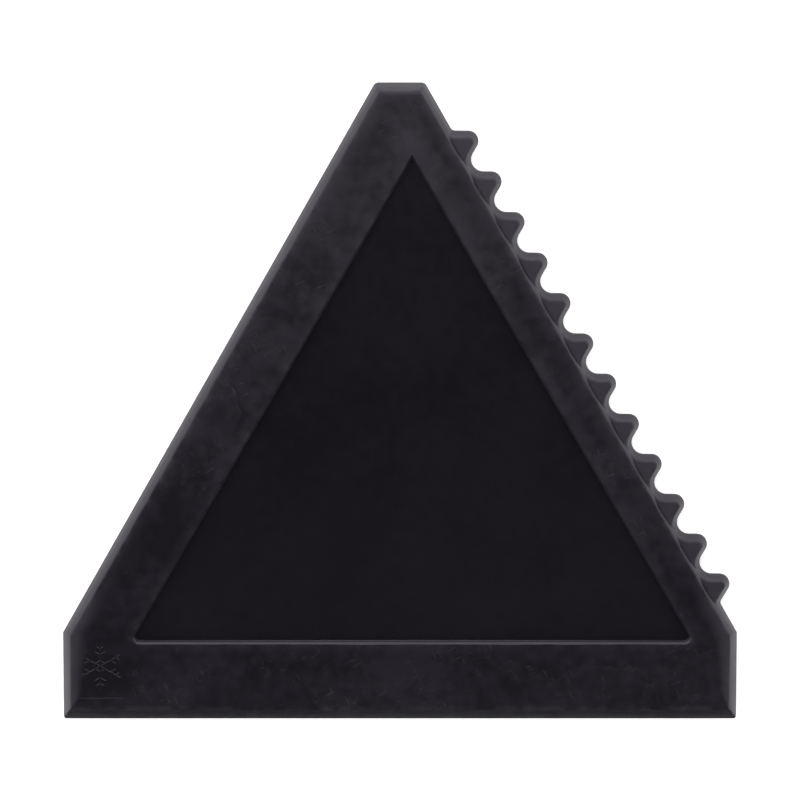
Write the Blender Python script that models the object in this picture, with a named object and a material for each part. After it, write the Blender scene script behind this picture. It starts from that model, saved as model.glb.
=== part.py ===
"""Triangular ice scraper, moulded in black polystyrene.

A thick ring with sharpened outer sides is closed by a thin panel, and a comb of twelve blunt
teeth runs along its right-hand slope. The scraper lies on its back: +X to the right, +Y towards
the tip, +Z out of the front. The origin is the middle of the back face. Sizes are in metres.
"""

import math

import bmesh
import bpy
from mathutils import Matrix, Vector

MM = 0.001

# Body
WIDTH = 120.0 * MM
HEIGHT = 114.0 * MM
THICKNESS = 5.5 * MM
SIDE_HEIGHT = 15.7 * MM       # upright stretch at each end of the base
TIP_WIDTH = 8.7 * MM          # flat at the tip
TIP_RADIUS = 1.0 * MM
CORNER_RADIUS = 0.5 * MM      # the base's two corners

# Sharpened outer sides, the same on the front and on the back
EDGE_THICKNESS = 0.6 * MM     # blunt edge left at mid-thickness
BEVEL_RUN = 1.3 * MM          # slopes
TIP_RUN = 1.2 * MM
UPRIGHT_RUN = 1.5 * MM
BLADE_RUN = 2.2 * MM          # base, which is the scraping blade
FACE_CORNER_RADIUS = 0.4 * MM

# Triangular recess, with 60 degree corners
RECESS_APEX_X = 2.14 * MM
RECESS_APEX_FROM_BASE = 101.6 * MM
RECESS_FOOT_FROM_BASE = 14.07 * MM
RECESS_APEX_RADIUS = 0.3 * MM
RECESS_CORNER_RADIUS = 1.2 * MM
RECESS_LEAST_RADIUS = 0.1 * MM
CHAMFER_RUN = 0.4 * MM        # slanted lip where a wall meets the face
CHAMFER_DEPTH = 0.33 * MM
RECESS_DRAFT = 0.04 * MM      # how far a wall leans in from the lip to the panel

# Panel across the recess, held in a groove round the opening
PANEL_THICKNESS = 3.4 * MM
GROOVE_DEPTH = 1.5 * MM

# Comb on the right-hand slope; distances along it start at the tip's end of the slope
TOOTH_COUNT = 12
TOOTH_PITCH = 8.27 * MM
FIRST_TOOTH = 12.71 * MM
TOOTH_HEIGHT = 3.36 * MM      # tip above the slope's edge line
ROOT_HEIGHT = 0.15 * MM       # bottom of a gap above the edge line
TOOTH_TIP_RADIUS = 1.8 * MM
TOOTH_ROOT_RADIUS = 2.15 * MM
END_FILLET_RADIUS = 0.9 * MM  # outer flanks of the first and last teeth into the plain edge
TOOTH_BEVEL_RUN = 1.0 * MM
COMB_THICKNESS = 4.0 * MM     # between the flat tops of the teeth on the two sides
COMB_OVERHANG = 5.0 * MM      # root strip beyond the first and last tooth tips
STRIP_DEPTH = 2.0 * MM        # root strip behind the edge line

GAP = 0.3 * MM                # between neighbouring pieces
CUT_MARGIN = 0.5 * MM         # how far cutters reach past what they cut
ARC_STEPS = 6

MIDDLE = THICKNESS / 2


def purge_scene():
    """Remove every object of the open file."""
    for thing in list(bpy.data.objects):
        bpy.data.objects.remove(thing, do_unlink=True)


def new_collection(name):
    """Make a collection in the scene."""
    collection = bpy.data.collections.new(name)
    bpy.context.scene.collection.children.link(collection)
    return collection


def plastic(name, colour, roughness):
    """Make a moulded-plastic material."""
    material = bpy.data.materials.new(name)
    material.use_nodes = True
    shader = material.node_tree.nodes["Principled BSDF"]
    shader.inputs["Base Color"].default_value = (*colour, 1.0)
    shader.inputs["Roughness"].default_value = roughness
    shader.inputs["Metallic"].default_value = 0.0
    return material


def body_corners():
    """Corners of the body's outline, anticlockwise from the lower left."""
    side, low, high = WIDTH / 2, -HEIGHT / 2, HEIGHT / 2
    shoulder = low + SIDE_HEIGHT
    tip = TIP_WIDTH / 2
    corners = [(-side, low), (side, low), (side, shoulder), (tip, high), (-tip, high), (-side, shoulder)]
    return [Vector(corner) for corner in corners]


def recess_corners():
    """Corners of the recess at the face, anticlockwise from the lower left."""
    foot = RECESS_FOOT_FROM_BASE - HEIGHT / 2
    apex = RECESS_APEX_FROM_BASE - HEIGHT / 2
    half_foot = (apex - foot) * math.tan(math.radians(30))
    left, right = RECESS_APEX_X - half_foot, RECESS_APEX_X + half_foot
    return [Vector((left, foot)), Vector((right, foot)), Vector((RECESS_APEX_X, apex))]


def inset(corners, distances):
    """Move each side inwards by its distance; side i runs from corner i to corner i + 1."""
    count = len(corners)
    normals = []
    for i, corner in enumerate(corners):
        along = (corners[(i + 1) % count] - corner).normalized()
        normals.append(Vector((-along.y, along.x)))
    moved = []
    for i, corner in enumerate(corners):
        meeting = Matrix((normals[i - 1], normals[i])).inverted()
        moved.append(corner + meeting @ Vector((distances[i - 1], distances[i])))
    return moved


def arc(centre, radius, start, end, steps=ARC_STEPS):
    """Points from the start angle to the end angle, both included, in radians."""
    points = []
    for i in range(steps + 1):
        angle = start + (end - start) * i / steps
        points.append(centre + radius * Vector((math.cos(angle), math.sin(angle))))
    return points


def rounded(corners, radii):
    """Outline with its convex, anticlockwise corners rounded."""
    count = len(corners)
    points = []
    for i, corner in enumerate(corners):
        if radii[i] == 0:
            points.append(corner)
            continue
        back = (corners[i - 1] - corner).normalized()
        ahead = (corners[(i + 1) % count] - corner).normalized()
        half_angle = back.angle(ahead) / 2
        centre = corner + (back + ahead).normalized() * radii[i] / math.sin(half_angle)
        # From the outward normal of the side that arrives to that of the side that leaves
        start = math.atan2(back.x, -back.y)
        points += arc(centre, radii[i], start, start + math.pi - 2 * half_angle)
    return points


def link_mesh(name, mesh_bmesh, collection):
    """Turn a bmesh into an object in the collection."""
    bmesh.ops.recalc_face_normals(mesh_bmesh, faces=mesh_bmesh.faces)
    mesh = bpy.data.meshes.new(name)
    mesh_bmesh.to_mesh(mesh)
    mesh_bmesh.free()
    thing = bpy.data.objects.new(name, mesh)
    collection.objects.link(thing)
    return thing


def hull(name, levels, collection):
    """Convex solid through outlines at given heights; levels are (outline, z) pairs."""
    shape = bmesh.new()
    for outline, z in levels:
        for point in outline:
            shape.verts.new((point.x, point.y, z))
    bmesh.ops.convex_hull(shape, input=shape.verts)
    bmesh.ops.dissolve_limit(shape, angle_limit=math.radians(0.1), verts=shape.verts, edges=shape.edges)
    return link_mesh(name, shape, collection)


def loft(name, levels, collection):
    """Solid through outlines of equal length, stacked from the lowest to the highest."""
    shape = bmesh.new()
    rings = []
    for outline, z in levels:
        rings.append([shape.verts.new((point.x, point.y, z)) for point in outline])
    for lower, upper in zip(rings, rings[1:]):
        for i in range(len(lower)):
            shape.faces.new((lower[i - 1], lower[i], upper[i], upper[i - 1]))
    shape.faces.new(reversed(rings[0]))
    shape.faces.new(rings[-1])
    return link_mesh(name, shape, collection)


def cut(piece, cutter):
    """Take the cutter out of the piece with an exact Boolean."""
    cutter.hide_render = True
    cutter.display_type = "WIRE"
    boolean = piece.modifiers.new("cut " + cutter.name, "BOOLEAN")
    boolean.operation = "DIFFERENCE"
    boolean.solver = "EXACT"
    boolean.object = cutter


def slope_point(along, out):
    """Place on the right-hand slope: distance along it from the tip, and out of its edge line."""
    corners = body_corners()
    top, bottom = corners[3], corners[2]
    direction = (bottom - top).normalized()
    outward = Vector((-direction.y, direction.x))
    return top + direction * along + outward * out


def tooth_flank_angle():
    """Angle between a flank and the edge line, where it touches the tip and root arcs."""
    across = TOOTH_PITCH / 2
    rise = (ROOT_HEIGHT + TOOTH_ROOT_RADIUS) - (TOOTH_HEIGHT - TOOTH_TIP_RADIUS)
    reach = math.hypot(across, rise)
    return math.asin((TOOTH_TIP_RADIUS + TOOTH_ROOT_RADIUS) / reach) - math.atan2(rise, across)


def comb_profile(inwards):
    """Toothed edge as (along, out) points from the tip's end, moved inwards by a distance."""
    flank = tooth_flank_angle()
    up = math.pi / 2
    tip_centre = TOOTH_HEIGHT - TOOTH_TIP_RADIUS
    root_centre = ROOT_HEIGHT + TOOTH_ROOT_RADIUS
    drop = math.cos(flank) * (END_FILLET_RADIUS - tip_centre)
    fillet_offset = (TOOTH_TIP_RADIUS + END_FILLET_RADIUS - drop) / math.sin(flank)
    last_tooth = FIRST_TOOTH + (TOOTH_COUNT - 1) * TOOTH_PITCH

    tip_radius = TOOTH_TIP_RADIUS - inwards
    root_radius = TOOTH_ROOT_RADIUS + inwards
    fillet_radius = END_FILLET_RADIUS + inwards

    points = [Vector((FIRST_TOOTH - COMB_OVERHANG, -inwards))]
    fillet = Vector((FIRST_TOOTH - fillet_offset, END_FILLET_RADIUS))
    points += arc(fillet, fillet_radius, -up, -up + flank)
    for i in range(TOOTH_COUNT):
        along = FIRST_TOOTH + i * TOOTH_PITCH
        points += arc(Vector((along, tip_centre)), tip_radius, up + flank, up - flank, 2 * ARC_STEPS)
        if i < TOOTH_COUNT - 1:
            root = Vector((along + TOOTH_PITCH / 2, root_centre))
            points += arc(root, root_radius, -up - flank, -up + flank, 2 * ARC_STEPS)
    fillet = Vector((last_tooth + fillet_offset, END_FILLET_RADIUS))
    points += arc(fillet, fillet_radius, -up - flank, -up)
    points.append(Vector((last_tooth + COMB_OVERHANG, -inwards)))
    return points


def comb_outline(inwards):
    """Closed outline of the comb with its root strip, in the body's plane."""
    profile = comb_profile(inwards)
    strip = [Vector((profile[-1].x, -STRIP_DEPTH)), Vector((profile[0].x, -STRIP_DEPTH))]
    return [slope_point(point.x, point.y) for point in reversed(profile + strip)]


def make_rim(pieces, cutters, material):
    """Thick ring: sharpened outside, open in the middle, grooved for the panel and the comb."""
    corners = body_corners()
    edge_corners = rounded(corners, [CORNER_RADIUS, CORNER_RADIUS, 0, TIP_RADIUS, TIP_RADIUS, 0])
    face_sides = [BLADE_RUN, UPRIGHT_RUN, BEVEL_RUN, TIP_RUN, BEVEL_RUN, UPRIGHT_RUN]
    face_corners = rounded(inset(corners, face_sides), [FACE_CORNER_RADIUS] * 6)
    half_edge = EDGE_THICKNESS / 2
    levels = [(face_corners, 0.0), (edge_corners, MIDDLE - half_edge)]
    levels += [(edge_corners, MIDDLE + half_edge), (face_corners, THICKNESS)]
    rim = hull("rim", levels, pieces)
    rim.data.materials.append(material)

    for side, name in ((1, "front recess"), (-1, "back recess")):
        cut(rim, recess_cutter(name, side, cutters))
    cut(rim, groove_cutter(cutters))
    cut(rim, comb_slot_cutter(cutters))
    return rim


def recess_outline(inwards):
    """Outline of the recess, moved inwards by a distance from where it meets the face."""
    radii = []
    for radius in (RECESS_CORNER_RADIUS, RECESS_CORNER_RADIUS, RECESS_APEX_RADIUS):
        radii.append(max(radius - inwards, RECESS_LEAST_RADIUS))
    return rounded(inset(recess_corners(), [inwards] * 3), radii)


def recess_cutter(name, side, cutters):
    """One recess, from mid-thickness out past the front (side 1) or the back (side -1)."""
    lip_foot = MIDDLE - CHAMFER_DEPTH
    lean = RECESS_DRAFT / (lip_foot - PANEL_THICKNESS / 2)
    flare = CHAMFER_RUN / CHAMFER_DEPTH
    levels = []
    for height, inwards in (
        (0.0, CHAMFER_RUN + lean * lip_foot),
        (lip_foot, CHAMFER_RUN),
        (MIDDLE + CUT_MARGIN, -flare * CUT_MARGIN),
    ):
        levels.append((recess_outline(inwards), MIDDLE + side * height))
    return loft(name, levels, cutters)


def panel_outline(reach):
    """Outline of the panel's opening at the panel's faces, reaching on into the groove."""
    return recess_outline(CHAMFER_RUN + RECESS_DRAFT - reach)


def groove_cutter(cutters):
    """Groove round the opening that holds the panel's edge."""
    half_height = PANEL_THICKNESS / 2 + GAP
    outline = panel_outline(GROOVE_DEPTH)
    return hull("panel groove", [(outline, MIDDLE - half_height), (outline, MIDDLE + half_height)], cutters)


def comb_slot_cutter(cutters):
    """Slot along the right-hand slope that holds the comb's root strip."""
    half_height = COMB_THICKNESS / 2 + GAP
    last_tooth = FIRST_TOOTH + (TOOTH_COUNT - 1) * TOOTH_PITCH
    start = FIRST_TOOTH - COMB_OVERHANG - GAP
    end = last_tooth + COMB_OVERHANG + GAP
    inner, outer = -STRIP_DEPTH - GAP, CUT_MARGIN
    outline = [slope_point(*place) for place in ((start, inner), (end, inner), (end, outer), (start, outer))]
    return hull("comb slot", [(outline, MIDDLE - half_height), (outline, MIDDLE + half_height)], cutters)


def make_centre_panel(pieces, material):
    """Thin panel that closes the ring, with its edge in the groove."""
    outline = panel_outline(GROOVE_DEPTH - GAP)
    half = PANEL_THICKNESS / 2
    panel = hull("centre_panel", [(outline, MIDDLE - half), (outline, MIDDLE + half)], pieces)
    panel.data.materials.append(material)
    return panel


def make_tooth_comb(pieces, material):
    """Twelve teeth on one root strip, each bevelled to a blunt edge at mid-thickness."""
    top, edge = comb_outline(TOOTH_BEVEL_RUN), comb_outline(0.0)
    half, half_edge = COMB_THICKNESS / 2, EDGE_THICKNESS / 2
    levels = [(top, MIDDLE - half), (edge, MIDDLE - half_edge)]
    levels += [(edge, MIDDLE + half_edge), (top, MIDDLE + half)]
    comb = loft("tooth_comb", levels, pieces)
    comb.data.materials.append(material)
    return comb


def main():
    """Build the scraper."""
    purge_scene()
    pieces = new_collection("ice_scraper")
    cutters = new_collection("cutters")
    satin = plastic("satin_black", (0.018, 0.017, 0.021), 0.45)
    smooth = plastic("smooth_black", (0.014, 0.013, 0.017), 0.3)
    make_rim(pieces, cutters, satin)
    make_centre_panel(pieces, smooth)
    make_tooth_comb(pieces, satin)


main()
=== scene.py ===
"""Looks of the triangular ice scraper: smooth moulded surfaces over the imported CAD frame."""

import math

import bpy
from mathutils import Matrix, Vector, noise
from mathutils.bvhtree import BVHTree


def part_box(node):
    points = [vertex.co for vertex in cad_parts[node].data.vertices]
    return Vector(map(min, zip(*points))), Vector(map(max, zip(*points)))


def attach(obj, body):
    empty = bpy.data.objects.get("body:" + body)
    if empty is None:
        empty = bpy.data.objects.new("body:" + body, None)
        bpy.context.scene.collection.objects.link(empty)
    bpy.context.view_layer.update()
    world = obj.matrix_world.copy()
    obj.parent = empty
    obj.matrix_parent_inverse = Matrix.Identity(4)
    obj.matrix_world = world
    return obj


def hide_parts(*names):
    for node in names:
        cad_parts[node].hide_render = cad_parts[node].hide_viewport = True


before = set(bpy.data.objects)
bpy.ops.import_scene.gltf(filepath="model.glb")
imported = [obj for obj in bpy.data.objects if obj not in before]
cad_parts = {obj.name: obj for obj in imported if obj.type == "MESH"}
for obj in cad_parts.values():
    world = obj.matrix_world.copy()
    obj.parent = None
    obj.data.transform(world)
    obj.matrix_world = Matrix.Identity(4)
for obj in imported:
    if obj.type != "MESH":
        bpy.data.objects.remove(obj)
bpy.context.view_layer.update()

MM = 0.001

# From the frame
RIM_LOW, RIM_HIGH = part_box("rim")
PANEL_LOW, PANEL_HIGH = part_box("centre_panel")
COMB_LOW, COMB_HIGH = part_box("tooth_comb")
MIDDLE = (RIM_LOW.z + RIM_HIGH.z) / 2
HALF_COMB = (COMB_HIGH.z - COMB_LOW.z) / 2
HALF_PANEL = (PANEL_HIGH.z - PANEL_LOW.z) / 2
HALF_RIM = (RIM_HIGH.z - RIM_LOW.z) / 2

# Body, as in the CAD
SIDE_HEIGHT = 15.7 * MM
TIP_WIDTH = 8.7 * MM
HALF_EDGE = 0.3 * MM          # half of the blunt edge's thickness
BEVEL_RUN = 1.3 * MM
TIP_RUN = 1.2 * MM
UPRIGHT_RUN = 1.5 * MM
BLADE_RUN = 2.2 * MM

# Corners of the outline: how far from the corner the rounding starts
BASE_EDGE_REACH = 0.5 * MM
TIP_EDGE_REACH = 0.58 * MM
BASE_FACE_REACH = 0.35 * MM
TIP_FACE_REACH = 0.3 * MM

# Bevels bulge a little: where, as shares of each one's run and rise
BLADE_BELLY = 0.48
UPRIGHT_BELLY = 0.47
SLOPE_BELLY = 0.42
TIP_BELLY = 0.48
BELLY_RISE = 0.52

# Recess, as in the CAD
RECESS_APEX_X = 2.14 * MM
RECESS_APEX_FROM_BASE = 101.6 * MM
RECESS_FOOT_FROM_BASE = 14.07 * MM
RECESS_CORNER_RADIUS = 1.2 * MM
CHAMFER_RUN = 0.4 * MM
CHAMFER_DEPTH = 0.33 * MM
RECESS_DRAFT = 0.04 * MM
FACING_UPRIGHT = 3.4 * MM     # length of the recess's side whose points face an upright
APEX_REACH = 0.12 * MM        # half the width of the flat that rounds the apex
PANEL_FILLET = 0.08 * MM
PANEL_FLARE = 0.05 * MM       # how far the fillet leans out into the wall
PANEL_APEX_REACH = 0.3 * MM
PANEL_INNERMOST = 26.0 * MM   # how far the panel's rows run in from its edge, short of its middle

# Comb, as in the CAD
TOOTH_COUNT = 12
TOOTH_PITCH = 8.27 * MM
FIRST_TOOTH = 12.71 * MM
TOOTH_HEIGHT = 3.36 * MM
ROOT_HEIGHT = 0.15 * MM
TOOTH_TIP_RADIUS = 1.8 * MM
TOOTH_ROOT_RADIUS = 2.15 * MM
END_FILLET_RADIUS = 0.9 * MM
TOOTH_BEVEL_RUN = 1.0 * MM
COMB_OVERHANG = 4.6 * MM      # a little less than in the CAD, to stay inside the ring
STRIP_DEPTH = 2.0 * MM
STRIP_TAPER = 0.3             # how much of the bevel's run the hidden strip's back gives up
LAND_WIDTH = 0.4 * MM         # flat rim of a tooth's top, inside its bevel
LAND_REACH = 0.3 * MM         # rounding between the two

# Finish of the moulding
LEAST_REACH = 0.12 * MM       # rounding of a corner that looks crisp
EDGE_REACH = 0.1 * MM         # of the blunt edge's corners and of the recess's lip
BELLY_REACH = 0.4 * MM        # of the bevels' bulge
FACE_REACH = 0.38 * MM        # of the rubbed edge between a bevel and the face
CRISPER_BY = 0.21 * MM        # how much less that is along the blade and the tip
CRISP_BLADE = 1.0 * MM        # height over which the blade's crisp edge fades out
CRISP_TIP_START = 3.0 * MM    # how far below the tip its crisp edge begins
CRISP_TIP = 1.5 * MM          # and the height over which it fades in
HIDDEN_DEPTH = 0.5 * MM       # how far a piece reaches into the one it is joined to
SINK_DEPTH = 0.09 * MM        # how far the thick bars sink between their edges
SINK_EDGE = 0.45              # share of the bar's width over which the sink comes on
SINK_WANDER = 0.25            # how uneven it is
SINK_WANDER_LENGTH = 18 * MM
EDGE_WANDER = 0.09 * MM       # how far the rubbed edges stray from a straight line
EDGE_WANDER_LENGTH = 3 * MM
INNER_SEED = 7 * MM           # makes the recess's edge stray otherwise than the outer one

# Matt margins: rougher, and painted lighter as a painted sheen along the edges and round the recess
OUTER_MATT_AND_SHEEN = 3.5 * MM         # width along the outer edges
INNER_MATT_AND_SHEEN = 2.5 * MM         # and round the recess
INNER_MATT_AND_SHEEN_SHARE = 0.15       # strength round the recess
SLOPE_MATT_AND_SHEEN_LOSS = 0.75        # how much weaker they are along the slopes
SLOPE_MATT_AND_SHEEN_FADE = 10 * MM     # height over which they weaken above the uprights
MATT_AND_SHEEN_DEPTH = 0.5 * MM         # how far they run down over an edge
# On the teeth's tops, also painted lighter as a painted sheen
COMB_MATT_AND_SHEEN_SHARE = 0.85
COMB_MATT_AND_SHEEN_DEPTH = 0.6 * MM

# Mark, measured from the base's lower left corner
MARK_PLACE = Vector((6.7 * MM, 10.0 * MM))
CRYSTAL_RADIUS = 4.2 * MM
MARK_LINE = 8.8 * MM
MARK_LINE_BELOW = 5.8 * MM
RIDGE_RADIUS = 0.17 * MM
RIDGE_HEIGHT = 0.08 * MM
CRYSTAL_RING = 1.0 * MM
CRYSTAL_TWIGS = ((0.5, 1.1 * MM), (0.75, 0.75 * MM))   # place along the arm and length
RIDGE_STEP = 0.4 * MM

# Fineness of the meshes
POINT_SPACING = 1.0 * MM      # along the outline
CORNER_STEPS = 6
EDGE_STEPS = 4
FACE_ROWS = 16
PANEL_ROWS = 24
PANEL_SIDE_POINTS = 60
TOOTH_STEPS = 20
FILLET_STEPS = 8
ON_THE_FACE = 0.0001 * MM     # least height below the face that counts as off it


# ---------------------------------------------------------------------------------------------
# Outlines


def body_corners():
    """Corners of the body's outline, anticlockwise from the lower left."""
    shoulder = RIM_LOW.y + SIDE_HEIGHT
    tip = TIP_WIDTH / 2
    return [
        Vector((RIM_LOW.x, RIM_LOW.y)),
        Vector((RIM_HIGH.x, RIM_LOW.y)),
        Vector((RIM_HIGH.x, shoulder)),
        Vector((tip, RIM_HIGH.y)),
        Vector((-tip, RIM_HIGH.y)),
        Vector((RIM_LOW.x, shoulder)),
    ]


def recess_corners():
    """Corners of the recess at the face, an equilateral triangle from the lower left."""
    foot = RIM_LOW.y + RECESS_FOOT_FROM_BASE
    apex = RIM_LOW.y + RECESS_APEX_FROM_BASE
    half_foot = (apex - foot) * math.tan(math.radians(30))
    left, right = RECESS_APEX_X - half_foot, RECESS_APEX_X + half_foot
    return [Vector((left, foot)), Vector((right, foot)), Vector((RECESS_APEX_X, apex))]


def inset(corners, distances):
    """Move each side inwards by its distance; side i runs from corner i to corner i + 1."""
    count = len(corners)
    normals = []
    for i, corner in enumerate(corners):
        along = (corners[(i + 1) % count] - corner).normalized()
        normals.append(Vector((-along.y, along.x)))
    moved = []
    for i, corner in enumerate(corners):
        meeting = Matrix((normals[i - 1], normals[i])).inverted()
        moved.append(corner + meeting @ Vector((distances[i - 1], distances[i])))
    return moved


def corner_curve(before, corner, after, reach, steps):
    """Circular arc that rounds a corner, starting and ending at a distance of reach from it."""
    back = (before - corner).normalized()
    ahead = (after - corner).normalized()
    weight = math.sin(back.angle(ahead) / 2)
    start, end = corner + back * reach, corner + ahead * reach
    points = []
    for i in range(steps + 1):
        t = i / steps
        first, middle, last = (1 - t) ** 2, 2 * weight * t * (1 - t), t ** 2
        points.append((start * first + corner * middle + end * last) / (first + middle + last))
    return points


def rounded_path(corners, reaches, steps, counts, closed=True):
    """Path with its corners rounded, and counts[i] extra points after corner i."""
    count = len(corners)
    curves = []
    for i, corner in enumerate(corners):
        if not closed and i in (0, count - 1):
            curves.append([corner])
            continue
        curves.append(corner_curve(corners[i - 1], corner, corners[(i + 1) % count], reaches[i], steps))
    points = []
    for i, curve in enumerate(curves):
        points += curve
        if closed or i < count - 1:
            start, end = curve[-1], curves[(i + 1) % count][0]
            points += [start.lerp(end, (k + 1) / (counts[i] + 1)) for k in range(counts[i])]
    return points


def side_counts(corners):
    """How many points each side of the body's outline takes."""
    count = len(corners)
    lengths = [(corners[(i + 1) % count] - corner).length for i, corner in enumerate(corners)]
    return [round(length / POINT_SPACING) for length in lengths]


def by_side(blade, upright, slope, tip):
    """Values for the body's six sides, in the order of its corners."""
    return [blade, upright, slope, tip, slope, upright]


def by_corner(base, tip):
    """Roundings of the body's six corners; its shoulders are crisp."""
    return [base, base, LEAST_REACH, tip, tip, LEAST_REACH]


def outer_loop(shares, reaches):
    """Outline of the body, each side moved inwards by a share of its bevel."""
    corners = body_corners()
    runs = by_side(BLADE_RUN, UPRIGHT_RUN, BEVEL_RUN, TIP_RUN)
    moved = inset(corners, [run * share for run, share in zip(runs, shares)])
    return rounded_path(moved, reaches, CORNER_STEPS, side_counts(corners))


def recess_reach(inwards):
    """Rounding of the recess's two wide corners at a distance inwards from the face's edge."""
    return max(RECESS_CORNER_RADIUS - inwards, LEAST_REACH) / math.tan(math.radians(30))


def inner_loop(inwards):
    """Outline of the recess with as many points as the body's, which it is joined to."""
    left, right, apex = inset(recess_corners(), [inwards] * 3)
    corner_reach, apex_reach = recess_reach(inwards), APEX_REACH / 3
    up_right, up_left = (apex - right).normalized(), (apex - left).normalized()
    corners = [
        left, right, right + up_right * FACING_UPRIGHT, apex - up_right * APEX_REACH,
        apex - up_left * APEX_REACH, left + up_left * FACING_UPRIGHT,
    ]
    reaches = [corner_reach, corner_reach, LEAST_REACH, apex_reach, apex_reach, LEAST_REACH]
    return rounded_path(corners, reaches, CORNER_STEPS, side_counts(body_corners()))


def strayed(loop, seed):
    """The outline with its points moved a little, as a worn edge is never quite straight."""
    moved = []
    for point in loop:
        place = Vector((point.x, point.y, seed)) / EDGE_WANDER_LENGTH
        moved.append(point + EDGE_WANDER * Vector((noise.noise(place), noise.noise(place.yxz))))
    return moved


def raised(loop, z):
    """Put a flat outline at a height above the middle of the thickness."""
    return [Vector((point.x, point.y, MIDDLE + z)) for point in loop]


# ---------------------------------------------------------------------------------------------
# Meshes


def skin(name, paths, wear, capped, matt_and_sheen=None):
    """Surface over paths that stand side by side round the outline.

    The wear is given for each row of a path, and the matt margin, which is also painted sheen, for each
    point. Capped closes the surface over the ends of its paths; otherwise each path is closed in itself.
    """
    rows, count = len(paths[0]), len(paths)
    verts = [point for path in paths for point in path]
    faces = []
    for i in range(count):
        after = (i + 1) % count
        for k in range(rows - 1 if capped else rows):
            k_after = (k + 1) % rows
            faces.append((i * rows + k, after * rows + k, after * rows + k_after, i * rows + k_after))
    if capped:
        faces.append([i * rows for i in reversed(range(count))])
        faces.append([i * rows + rows - 1 for i in range(count)])
    mesh = bpy.data.meshes.new(name)
    mesh.from_pydata(verts, [], faces)
    mesh.attributes.new("edge_wear", "FLOAT", "POINT").data.foreach_set("value", wear * count)
    if matt_and_sheen:
        mesh.attributes.new("matt_and_painted_sheen", "FLOAT", "POINT").data.foreach_set("value", matt_and_sheen)
    mesh.shade_smooth()
    piece = bpy.data.objects.new(name, mesh)
    bpy.context.scene.collection.objects.link(piece)
    piece.modifiers.new("flat faces stay flat", "WEIGHTED_NORMAL")
    return piece


def wear_rows(corner_wear, steps, counts, closed=True):
    """Wear of each row of a rounded path: that of its corner, and none between corners."""
    rows = []
    for i, worn in enumerate(corner_wear):
        end = not closed and i in (0, len(corner_wear) - 1)
        rows += [worn] * (1 if end else steps + 1)
        if closed or i < len(corner_wear) - 1:
            rows += [0.0] * counts[i]
    return rows


def smooth_step(x):
    """Ease from 0 to 1."""
    x = min(max(x, 0.0), 1.0)
    return x * x * (3 - 2 * x)


def sink(point, outer, inner):
    """How far the face has sunk at a point between its outer and its inner edge."""
    across = (inner - outer).length
    share = (point - outer).length / across
    hollow = smooth_step(share / SINK_EDGE) * smooth_step((1 - share) / SINK_EDGE)
    return SINK_DEPTH * hollow * (1 + SINK_WANDER * noise.noise(point / SINK_WANDER_LENGTH))


def margin(point, outer, inner, blade):
    """How matt the face is at a point, and how much painted sheen it gets: most along the uprights, none
    along the blade.
    """
    slope = smooth_step((point.y - RIM_LOW.y - SIDE_HEIGHT) / SLOPE_MATT_AND_SHEEN_FADE)
    from_outer = smooth_step(1 - (point - outer).length / OUTER_MATT_AND_SHEEN)
    from_inner = smooth_step(1 - (point - inner).length / INNER_MATT_AND_SHEEN)
    return max(from_outer * (1 - blade) * (1 - SLOPE_MATT_AND_SHEEN_LOSS * slope), INNER_MATT_AND_SHEEN_SHARE * from_inner)


def rim_loops():
    """Outlines of the ring's section, from the front of its edge in to the recess and back again."""
    edge = outer_loop([0.0] * 6, by_corner(BASE_EDGE_REACH, TIP_EDGE_REACH))
    face_reaches = by_corner(BASE_FACE_REACH, TIP_FACE_REACH)
    belly = outer_loop(by_side(BLADE_BELLY, UPRIGHT_BELLY, SLOPE_BELLY, TIP_BELLY), face_reaches)
    outer = strayed(outer_loop([1.0] * 6, face_reaches), 0.0)
    inner = strayed(inner_loop(0.0), INNER_SEED)
    lip = inner_loop(CHAMFER_RUN)
    # The wall's slant, carried on to mid-thickness, where the panel hides it
    behind_panel = inner_loop(CHAMFER_RUN + RECESS_DRAFT * 3)
    belly_height = HALF_EDGE + BELLY_RISE * (HALF_RIM - HALF_EDGE)
    front = [(edge, HALF_EDGE), (belly, belly_height), (outer, HALF_RIM), (inner, HALF_RIM)]
    front.append((lip, HALF_RIM - CHAMFER_DEPTH))
    back = [(loop, -height) for loop, height in reversed(front)]
    return [raised(loop, height) for loop, height in front + [(behind_panel, 0.0)] + back]


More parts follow.
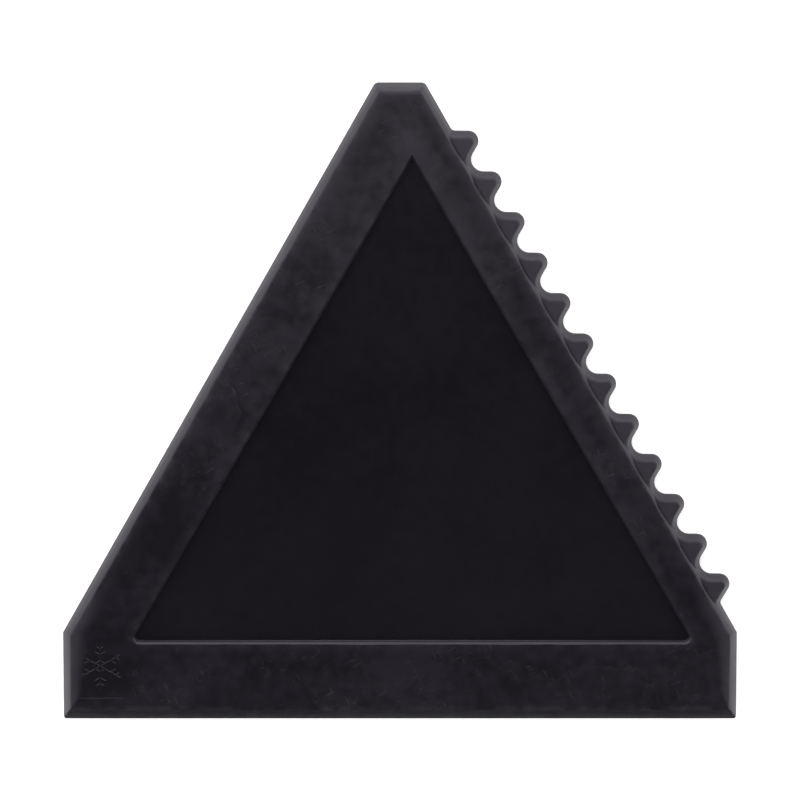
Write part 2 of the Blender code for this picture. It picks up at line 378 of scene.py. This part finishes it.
def make_rim():
    """Thick ring: bevelled outside, faces sunk between their edges, slanted lip round the recess."""
    loops = rim_loops()
    edge_counts = [2, 1, FACE_ROWS, 1, 2]
    counts = edge_counts + edge_counts[::-1] + [1]
    paths, matt_and_sheen = [], []
    for i, outer in enumerate(loops[2]):
        # The blade and the tip meet the face in a crisp edge
        blade = smooth_step(1 - (outer.y - RIM_LOW.y - BLADE_RUN) / CRISP_BLADE)
        tip = smooth_step((outer.y - RIM_HIGH.y + CRISP_TIP_START) / CRISP_TIP)
        face_reach = FACE_REACH - CRISPER_BY * max(blade, tip)
        front_reaches = [EDGE_REACH, BELLY_REACH, face_reach, LEAST_REACH, EDGE_REACH]
        reaches = front_reaches + [LEAST_REACH] + front_reaches[::-1]
        path = rounded_path([loop[i] for loop in loops], reaches, EDGE_STEPS, counts)
        for point in path:
            height = point.z - MIDDLE
            outer_end, inner_end = loops[2][i].copy(), loops[3][i].copy()
            outer_end.z = inner_end.z = point.z
            below = HALF_RIM - abs(height)
            # Matt margin, also painted lighter as a painted sheen, fading out down over the edges
            matt_and_sheen.append(margin(point, outer_end, inner_end, blade) * smooth_step(1 - below / MATT_AND_SHEEN_DEPTH))
            if below < ON_THE_FACE:
                point.z -= math.copysign(sink(point, outer_end, inner_end), height)
        paths.append(path)
    # Blunt edge, belly, face, recess and lip
    front_wear = [1.0, 0.3, 0.5, 0.2, 0.0]
    wear = wear_rows(front_wear + [0.0] + front_wear[::-1], EDGE_STEPS, counts)
    return skin("rim_skin", paths, wear, capped=False, matt_and_sheen=matt_and_sheen)


def panel_loop(inwards, height):
    """Outline of the panel at a height, moved inwards from the foot of the recess's wall."""
    total = CHAMFER_RUN + RECESS_DRAFT + inwards
    reaches = [recess_reach(total), recess_reach(total), PANEL_APEX_REACH]
    moved = inset(recess_corners(), [total] * 3)
    return raised(rounded_path(moved, reaches, CORNER_STEPS, [PANEL_SIDE_POINTS] * 3), height)


def make_panel():
    """Thin panel with a small fillet up into the recess's walls."""
    rise = PANEL_FILLET * 1.5
    profile = [(PANEL_INNERMOST, 0.0), (0.0, 0.0), (-PANEL_FLARE, rise), (-HIDDEN_DEPTH, rise)]
    loops = [panel_loop(inwards, HALF_PANEL + height) for inwards, height in profile]
    loops += [panel_loop(inwards, -HALF_PANEL - height) for inwards, height in reversed(profile)]
    front_reaches = [0.0, PANEL_FILLET, LEAST_REACH, LEAST_REACH]
    front_counts = [PANEL_ROWS, 1, 0]
    reaches = front_reaches + front_reaches[::-1]
    counts = front_counts + [1] + front_counts[::-1]
    paths = []
    for i in range(len(loops[0])):
        corners = [loop[i] for loop in loops]
        paths.append(rounded_path(corners, reaches, EDGE_STEPS, counts, closed=False)[::-1])
    wear = wear_rows([0.0] * len(loops), EDGE_STEPS, counts, closed=False)
    return skin("panel_skin", paths, wear, capped=True)


def tooth_flank_angle():
    """Angle between a flank and the edge line, where it touches the tip and root arcs."""
    across = TOOTH_PITCH / 2
    rise = (ROOT_HEIGHT + TOOTH_ROOT_RADIUS) - (TOOTH_HEIGHT - TOOTH_TIP_RADIUS)
    reach = math.hypot(across, rise)
    return math.asin((TOOTH_TIP_RADIUS + TOOTH_ROOT_RADIUS) / reach) - math.atan2(rise, across)


def arc(centre, radius, start, end, steps):
    """Points from the start angle to the end angle, both included, in radians."""
    points = []
    for i in range(steps + 1):
        angle = start + (end - start) * i / steps
        points.append(centre + radius * Vector((math.cos(angle), math.sin(angle))))
    return points


def comb_loop(inwards, height):
    """Outline of the comb and its hidden root strip at a height, its teeth moved inwards."""
    flank = tooth_flank_angle()
    up = math.pi / 2
    tip_centre = TOOTH_HEIGHT - TOOTH_TIP_RADIUS
    root_centre = ROOT_HEIGHT + TOOTH_ROOT_RADIUS
    drop = math.cos(flank) * (END_FILLET_RADIUS - tip_centre)
    fillet_offset = (TOOTH_TIP_RADIUS + END_FILLET_RADIUS - drop) / math.sin(flank)
    last_tooth = FIRST_TOOTH + (TOOTH_COUNT - 1) * TOOTH_PITCH
    hidden = -inwards - HIDDEN_DEPTH
    strip = -STRIP_DEPTH + inwards * STRIP_TAPER

    points = [Vector((FIRST_TOOTH - COMB_OVERHANG, hidden))]
    fillet = Vector((FIRST_TOOTH - fillet_offset, END_FILLET_RADIUS))
    points += arc(fillet, END_FILLET_RADIUS + inwards, -up, -up + flank, FILLET_STEPS)
    for i in range(TOOTH_COUNT):
        along = FIRST_TOOTH + i * TOOTH_PITCH
        tip = Vector((along, tip_centre))
        points += arc(tip, TOOTH_TIP_RADIUS - inwards, up + flank, up - flank, TOOTH_STEPS)
        if i < TOOTH_COUNT - 1:
            root = Vector((along + TOOTH_PITCH / 2, root_centre))
            points += arc(root, TOOTH_ROOT_RADIUS + inwards, -up - flank, -up + flank, TOOTH_STEPS)
    fillet = Vector((last_tooth + fillet_offset, END_FILLET_RADIUS))
    points += arc(fillet, END_FILLET_RADIUS + inwards, -up - flank, -up, FILLET_STEPS)
    points.append(Vector((last_tooth + COMB_OVERHANG, hidden)))
    points += [Vector((points[-1].x, strip)), Vector((points[0].x, strip))]

    corners = body_corners()
    top, bottom = corners[3], corners[2]
    direction = (bottom - top).normalized()
    outward = Vector((-direction.y, direction.x))
    return raised([top + direction * point.x + outward * point.y for point in reversed(points)], height)


def make_comb():
    """Twelve teeth with flat tops and bevelled sides that end in a blunt edge."""
    front = [(TOOTH_BEVEL_RUN + LAND_WIDTH, HALF_COMB), (TOOTH_BEVEL_RUN, HALF_COMB), (0.0, HALF_EDGE)]
    loops = [comb_loop(inwards, height) for inwards, height in front]
    loops += [comb_loop(inwards, -height) for inwards, height in reversed(front)]
    front_reaches = [0.0, LAND_REACH, LEAST_REACH]
    reaches = front_reaches + front_reaches[::-1]
    counts = [1, 3, 1, 3, 1]
    paths = []
    for i in range(len(loops[0])):
        corners = [loop[i] for loop in loops]
        paths.append(rounded_path(corners, reaches, EDGE_STEPS, counts, closed=False)[::-1])
    front_wear = [0.0, 1.0, 1.0]
    wear = wear_rows(front_wear + front_wear[::-1], EDGE_STEPS, counts, closed=False)
    # Tops of the teeth: matt, and painted lighter as a painted sheen
    depths = [HALF_COMB - abs(point.z - MIDDLE) for path in paths for point in path]
    matt_and_sheen = [COMB_MATT_AND_SHEEN_SHARE * smooth_step(1 - depth / COMB_MATT_AND_SHEEN_DEPTH) for depth in depths]
    return skin("comb_skin", paths, wear, capped=True, matt_and_sheen=matt_and_sheen)


# ---------------------------------------------------------------------------------------------
# Mark


def crystal_strokes():
    """Strokes of a six-armed snow crystal about its centre, as pairs of ends."""
    strokes = []
    for i in range(6):
        angle = math.radians(30 + 60 * i)
        arm = Vector((math.cos(angle), math.sin(angle)))
        strokes.append((Vector((0.0, 0.0)), arm * CRYSTAL_RADIUS))
        after = Vector((math.cos(angle + math.pi / 3), math.sin(angle + math.pi / 3)))
        strokes.append((arm * CRYSTAL_RING, after * CRYSTAL_RING))
        for share, length in CRYSTAL_TWIGS:
            fork = arm * CRYSTAL_RADIUS * share
            for lean in (-math.pi / 3, math.pi / 3):
                twig = Vector((math.cos(angle + lean), math.sin(angle + lean)))
                strokes.append((fork, fork + twig * length))
    return strokes


def make_mark(rim):
    """Raised snow crystal over a plain line, moulded on the front face near the lower left corner."""
    centre = Vector((RIM_LOW.x, RIM_LOW.y)) + MARK_PLACE
    strokes = [(centre + start, centre + end) for start, end in crystal_strokes()]
    half_line, below = Vector((MARK_LINE / 2, 0.0)), Vector((0.0, -MARK_LINE_BELOW))
    strokes.append((centre + below - half_line, centre + below + half_line))

    surface = BVHTree.FromPolygons(
        [vertex.co for vertex in rim.data.vertices], [face.vertices for face in rim.data.polygons])
    curve = bpy.data.curves.new("snow_crystal_mark", "CURVE")
    curve.dimensions = "3D"
    curve.bevel_depth = RIDGE_RADIUS
    curve.bevel_resolution = 3
    curve.use_fill_caps = True
    for start, end in strokes:
        spline = curve.splines.new("POLY")
        steps = max(2, round((end - start).length / RIDGE_STEP))
        spline.points.add(steps)
        for i in range(steps + 1):
            place = start.lerp(end, i / steps)
            hit = surface.ray_cast(Vector((place.x, place.y, RIM_HIGH.z + MM)), Vector((0.0, 0.0, -1.0)))
            top = min(hit[0].z + RIDGE_HEIGHT, RIM_HIGH.z)
            spline.points[i].co = (place.x, place.y, top - RIDGE_RADIUS, 1.0)
    mark = bpy.data.objects.new("snow_crystal_mark", curve)
    bpy.context.scene.collection.objects.link(mark)
    return mark


# ---------------------------------------------------------------------------------------------
# Materials

SATIN_DARK = (0.0056, 0.0043, 0.0074)
SATIN_LIGHT = (0.0088, 0.0074, 0.0115)
SMOOTH_DARK = (0.0060, 0.0046, 0.0072)
SMOOTH_LIGHT = (0.0075, 0.0060, 0.0090)
# Painted sheen: the lighter colour laid on the matt margins and on the teeth's tops
PAINTED_SHEEN_COLOUR = (0.0240, 0.0213, 0.0285)
SCUFF_COLOUR = (0.040, 0.037, 0.043)
DUST_COLOUR = (0.10, 0.095, 0.10)

# Scales of the textures, in repeats to the metre
CLOUD_SCALE = 70.0
SCRATCHED_PATCH_SCALE = 130.0
DUST_SCALE = 260.0
BLOTCH_SCALE = 480.0
GRAIN_SCALE = 3000.0

SCRATCH_LENGTH = 2.8 * MM
SCRATCH_WIDTH = 0.24 * MM
SCRATCH_TURNS = (24.0, -63.0)   # degrees
BUMP_DEPTH = 0.02 * MM
SCRATCH_ROUGHER = 0.25          # how much rougher a scratch is than the plastic round it
MATT_ROUGHER = 0.24             # and a matt margin
ROUGHNESS_SPREAD = 0.2          # how much the roughness varies, as a share of the grain


def principled(name):
    """New material and its shader."""
    material = bpy.data.materials.new(name)
    material.use_nodes = True
    return material, material.node_tree.nodes["Principled BSDF"]


def texture(tree, kind, scale, **settings):
    """Procedural texture in the object's own coordinates; settings are its other numbers."""
    coordinates = tree.nodes.new("ShaderNodeTexCoord")
    node = tree.nodes.new(kind)
    node.inputs["Scale"].default_value = scale
    for name, value in settings.items():
        node.inputs[name.replace("_", " ")].default_value = value
    tree.links.new(coordinates.outputs["Object"], node.inputs["Vector"])
    return node


def ramp(tree, source, given, wanted, interpolation="LINEAR"):
    """Turn the values between the two given ones into values between the two wanted ones."""
    node = tree.nodes.new("ShaderNodeMapRange")
    node.interpolation_type = interpolation
    node.inputs["From Min"].default_value, node.inputs["From Max"].default_value = given
    node.inputs["To Min"].default_value, node.inputs["To Max"].default_value = wanted
    tree.links.new(source, node.inputs["Value"])
    return node.outputs["Result"]


def math_node(tree, operation, first, second):
    """Join two values; the second may be a plain number."""
    node = tree.nodes.new("ShaderNodeMath")
    node.operation = operation
    tree.links.new(first, node.inputs[0])
    if isinstance(second, float):
        node.inputs[1].default_value = second
    else:
        tree.links.new(second, node.inputs[1])
    return node.outputs["Value"]


def blend_colours(tree, factor, first, second):
    """Mix two colours; the first may be another mix."""
    node = tree.nodes.new("ShaderNodeMix")
    node.data_type = "RGBA"
    tree.links.new(factor, node.inputs["Factor"])
    if isinstance(first, tuple):
        node.inputs["A"].default_value = (*first, 1.0)
    else:
        tree.links.new(first, node.inputs["A"])
    node.inputs["B"].default_value = (*second, 1.0)
    return node.outputs["Result"]


def attribute(tree, name):
    """Value that the mesh carries at each of its points."""
    node = tree.nodes.new("ShaderNodeAttribute")
    node.attribute_name = name
    return node.outputs["Fac"]


def scratches(tree, turn):
    """Sparse short scratches that all run one way: 1 on a scratch and 0 elsewhere."""
    coordinates = tree.nodes.new("ShaderNodeTexCoord")
    stretch = tree.nodes.new("ShaderNodeMapping")
    stretch.vector_type = "TEXTURE"
    stretch.inputs["Rotation"].default_value = (0.0, 0.0, math.radians(turn))
    stretch.inputs["Scale"].default_value = (SCRATCH_LENGTH, SCRATCH_WIDTH, SCRATCH_LENGTH)
    tree.links.new(coordinates.outputs["Object"], stretch.inputs["Vector"])
    lines = tree.nodes.new("ShaderNodeTexNoise")
    lines.inputs["Scale"].default_value = 1.0
    lines.inputs["Detail"].default_value = 1.0
    tree.links.new(stretch.outputs["Vector"], lines.inputs["Vector"])
    line = ramp(tree, lines.outputs["Fac"], (0.67, 0.73), (0.0, 1.0))
    patches = texture(tree, "ShaderNodeTexNoise", SCRATCHED_PATCH_SCALE, Detail=2.0)
    return math_node(tree, "MULTIPLY", line, ramp(tree, patches.outputs["Fac"], (0.48, 0.6), (0.0, 1.0)))


def speck_share(tree, strength):
    """Rare round specks of dust: up to the strength on a speck and 0 elsewhere."""
    specks = texture(tree, "ShaderNodeTexVoronoi", DUST_SCALE)
    chosen = tree.nodes.new("ShaderNodeSeparateColor")
    tree.links.new(specks.outputs["Color"], chosen.inputs["Color"])
    rare = math_node(tree, "GREATER_THAN", chosen.outputs["Red"], 0.93)
    dot = ramp(tree, specks.outputs["Distance"], (0.02, 0.045), (strength, 0.0))
    return math_node(tree, "MULTIPLY", rare, dot)


def black_plastic(name, dark, light, roughness, grain, wear):
    """Moulded polystyrene: cloudy near-black, fine grain, dust, scratches, rubbed edges, and matt margins
    painted lighter as a painted sheen.
    """
    material, shader = principled(name)
    tree = material.node_tree
    cloud = texture(tree, "ShaderNodeTexNoise", CLOUD_SCALE, Detail=4.0, Roughness=0.55)
    blotches = texture(tree, "ShaderNodeTexNoise", BLOTCH_SCALE, Detail=3.0)
    blotch = ramp(tree, blotches.outputs["Fac"], (0.3, 0.7), (-0.15, 0.15))
    shade = math_node(tree, "ADD", cloud.outputs["Fac"], blotch)
    shade = ramp(tree, shade, (0.32, 0.68), (0.0, 1.0))
    colour = blend_colours(tree, shade, dark, light)

    scratch = math_node(tree, "MAXIMUM", *[scratches(tree, turn) for turn in SCRATCH_TURNS])
    scratch = math_node(tree, "MULTIPLY", scratch, wear)
    colour = blend_colours(tree, scratch, colour, SCUFF_COLOUR)
    colour = blend_colours(tree, speck_share(tree, wear), colour, DUST_COLOUR)

    # Matt margins: rougher, and painted lighter towards the edges, a painted sheen
    matt_and_sheen_share = attribute(tree, "matt_and_painted_sheen")
    colour = blend_colours(tree, matt_and_sheen_share, colour, PAINTED_SHEEN_COLOUR)
    worn = ramp(tree, blotches.outputs["Fac"], (0.4, 0.7), (0.0, 0.7))
    rubbed = math_node(tree, "MULTIPLY", attribute(tree, "edge_wear"), worn)
    colour = blend_colours(tree, rubbed, colour, SCUFF_COLOUR)
    tree.links.new(colour, shader.inputs["Base Color"])

    spread = ROUGHNESS_SPREAD * grain
    shine = ramp(tree, shade, (0.0, 1.0), (roughness - spread, roughness + spread))
    shine = math_node(tree, "ADD", shine, math_node(tree, "MULTIPLY", scratch, SCRATCH_ROUGHER))
    shine = math_node(tree, "ADD", shine, math_node(tree, "MULTIPLY", matt_and_sheen_share, MATT_ROUGHER))
    tree.links.new(shine, shader.inputs["Roughness"])

    fine = texture(tree, "ShaderNodeTexNoise", GRAIN_SCALE, Detail=2.0)
    uneven = math_node(tree, "MULTIPLY", blotches.outputs["Fac"], 2.5)
    height = math_node(tree, "ADD", fine.outputs["Fac"], uneven)
    height = math_node(tree, "SUBTRACT", height, math_node(tree, "MULTIPLY", scratch, 1.5))
    bump = tree.nodes.new("ShaderNodeBump")
    bump.inputs["Strength"].default_value = grain
    bump.inputs["Distance"].default_value = BUMP_DEPTH
    tree.links.new(height, bump.inputs["Height"])
    tree.links.new(bump.outputs["Normal"], shader.inputs["Normal"])

    shader.inputs["IOR"].default_value = 1.47
    shader.inputs["Specular Tint"].default_value = (0.95, 0.86, 1.0, 1.0)
    return material


def floor_material():
    """Milk-white light table, which glows a little so that shadows on it are faint."""
    material, shader = principled("studio_floor")
    shader.inputs["Base Color"].default_value = (0.82, 0.82, 0.82, 1.0)
    shader.inputs["Roughness"].default_value = 0.9
    shader.inputs["Specular IOR Level"].default_value = 0.0
    shader.inputs["Emission Color"].default_value = (1.0, 1.0, 1.0, 1.0)
    shader.inputs["Emission Strength"].default_value = 0.66
    return material


# ---------------------------------------------------------------------------------------------
# Studio

# Camera
LEAN = 9.5                    # degrees from straight above, towards the tip
DISTANCE = 0.96
FOCAL_LENGTH = 244.3          # millimetres, on a sensor 36 mm wide
AIMED_ABOVE_MIDDLE = 0.6 * MM

# Light tent: brightness at low and at high elevations, given as the sine of the elevation
TENT_WALL, TENT_WALL_TOP = 1.5, 0.5
TENT_ROOF, TENT_ROOF_START = 0.03, 0.9

FLOOR_SIZE = 8.0
CARD_WIDTH = 0.8


def make_camera():
    """Long lens almost straight above the face, leaning a little towards the tip."""
    lean = math.radians(LEAN)
    data = bpy.data.cameras.new("camera")
    data.sensor_width = 36.0
    data.lens = FOCAL_LENGTH
    data.clip_start, data.clip_end = 0.05, 20.0
    camera = bpy.data.objects.new("camera", data)
    bpy.context.scene.collection.objects.link(camera)
    target = Vector((0.0, AIMED_ABOVE_MIDDLE, MIDDLE))
    camera.location = target + DISTANCE * Vector((0.0, math.sin(lean), math.cos(lean)))
    camera.rotation_euler = (-lean, 0.0, 0.0)
    bpy.context.scene.camera = camera


def soft_box(name, place, size, power):
    """Square area light that shines at the object."""
    data = bpy.data.lights.new(name, "AREA")
    data.shape = "SQUARE"
    data.size = size
    data.energy = power
    light = bpy.data.objects.new(name, data)
    bpy.context.scene.collection.objects.link(light)
    light.location = place
    light.rotation_euler = (-Vector(place)).to_track_quat("-Z", "Y").to_euler()
    light.visible_camera = False


def make_card(name, ahead, height, grey):
    """Matt card standing in front of the blade, seen only in reflections: it paints a dark reflection into
    the blade's bevel in place of the floor, casts no shadow and lights nothing.
    """
    bpy.ops.mesh.primitive_plane_add(size=1.0, location=(0.0, RIM_LOW.y - ahead, height / 2))
    card = bpy.context.object
    card.name = name
    card.scale = (CARD_WIDTH, height, 1.0)
    card.rotation_euler = (math.radians(90), 0.0, 0.0)
    material, shader = principled(name + "_painted_reflection")
    shader.inputs["Base Color"].default_value = (grey, grey, grey, 1.0)
    shader.inputs["Roughness"].default_value = 1.0
    card.data.materials.append(material)
    card.visible_camera = False
    card.visible_diffuse = False
    card.visible_shadow = False


def make_room():
    """Light tent: pale and bright all round at low angles, dark overhead."""
    world = bpy.data.worlds.new("room")
    bpy.context.scene.world = world
    world.use_nodes = True
    tree = world.node_tree
    coordinates = tree.nodes.new("ShaderNodeTexCoord")
    split = tree.nodes.new("ShaderNodeSeparateXYZ")
    tree.links.new(coordinates.outputs["Generated"], split.inputs["Vector"])
    heights, strengths = (TENT_WALL_TOP, TENT_ROOF_START), (TENT_WALL, TENT_ROOF)
    strength = ramp(tree, split.outputs["Z"], heights, strengths, interpolation="SMOOTHSTEP")
    background = tree.nodes["Background"]
    background.inputs["Color"].default_value = (1.0, 1.0, 1.0, 1.0)
    tree.links.new(strength, background.inputs["Strength"])


def make_studio():
    """Pale floor in a light tent, a broad light beyond the tip and a small weak one over it."""
    bpy.ops.mesh.primitive_plane_add(size=FLOOR_SIZE, location=(0.0, 0.0, 0.0))
    floor = bpy.context.object
    floor.name = "floor"
    floor.data.materials.append(floor_material())
    # Dark cards seen only in reflections: a painted dark reflection along the blade's bevel
    make_card("low_grey_card", ahead=4 * MM, height=0.03, grey=0.15)
    make_card("tall_dark_card", ahead=6 * MM, height=0.25, grey=0.02)
    make_room()
    soft_box("broad light", place=(-0.25, 0.5, 0.3), size=0.8, power=1.7)
    soft_box("tip light", place=(0.0, 0.13, 0.38), size=0.12, power=0.36)
    bpy.context.scene.view_settings.view_transform = "Standard"


def finish_piece(piece, material, node):
    """Give a piece its material and its body, and hide the CAD node it stands in for."""
    piece.data.materials.append(material)
    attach(piece, "root")
    if node:
        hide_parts(node)


def main():
    """Build the looks."""
    satin = black_plastic("satin_black", SATIN_DARK, SATIN_LIGHT, roughness=0.34, grain=0.3, wear=0.5)
    smooth = black_plastic("smooth_black", SMOOTH_DARK, SMOOTH_LIGHT, roughness=0.2, grain=0.05, wear=0.03)
    rim = make_rim()
    finish_piece(rim, satin, "rim")
    finish_piece(make_panel(), smooth, "centre_panel")
    finish_piece(make_comb(), satin, "tooth_comb")
    finish_piece(make_mark(rim), satin, None)
    make_camera()
    make_studio()


main()
